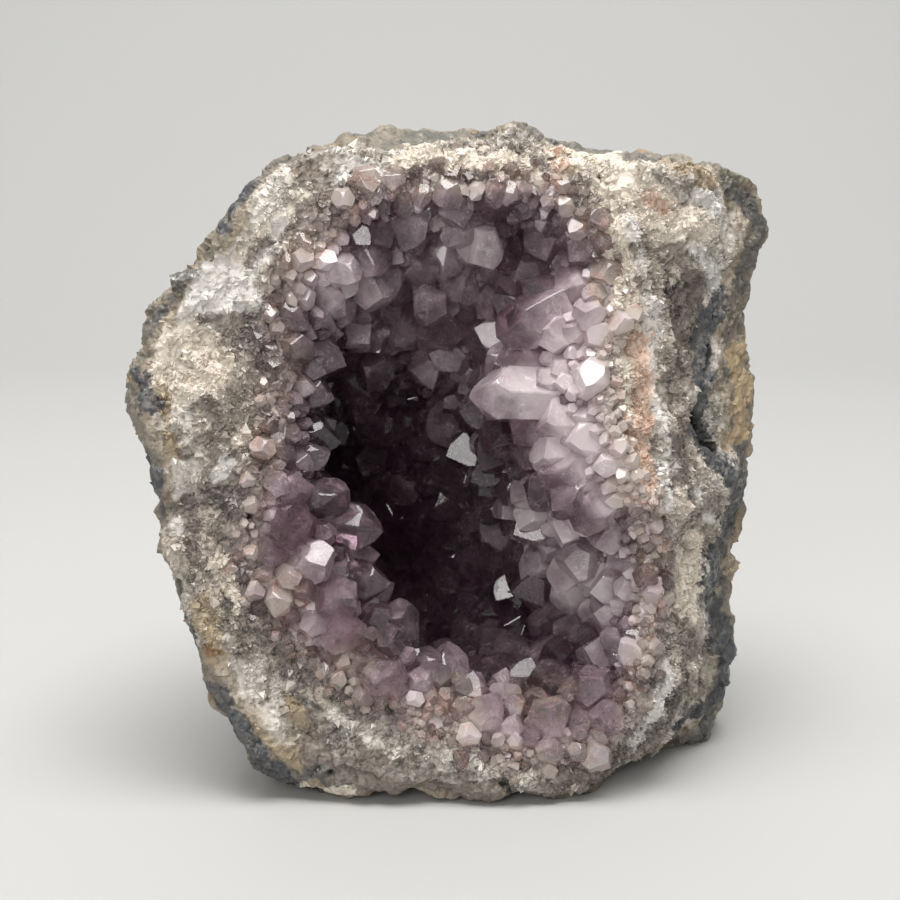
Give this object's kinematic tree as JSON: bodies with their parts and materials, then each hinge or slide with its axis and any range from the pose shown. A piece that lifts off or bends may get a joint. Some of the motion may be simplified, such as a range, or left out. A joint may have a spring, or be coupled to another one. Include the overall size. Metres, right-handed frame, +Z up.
{
  "type": "amethyst geode",
  "caption": "Rough agate and quartz lump, broken open at the front, that stands on a flat base and shows a deep hollow lined with pointed purple crystals.",
  "frame": {"origin": "bottom centre of the stone's bounding box, on the surface that it stands on", "axes": "+Z up, +Y from the open front towards the rounded back, +X to the right of someone who looks into the hollow"},
  "size_m": [0.0988, 0.075, 0.1001],
  "materials": {
    "rock": "rough, broken quartz and banded agate",
    "amethyst": "clear, glossy crystal faces"
  },
  "bodies": {
    "root": {"geode_shell": "rock", "crystal_crust": "amethyst"}
  },
  "joints": []
}
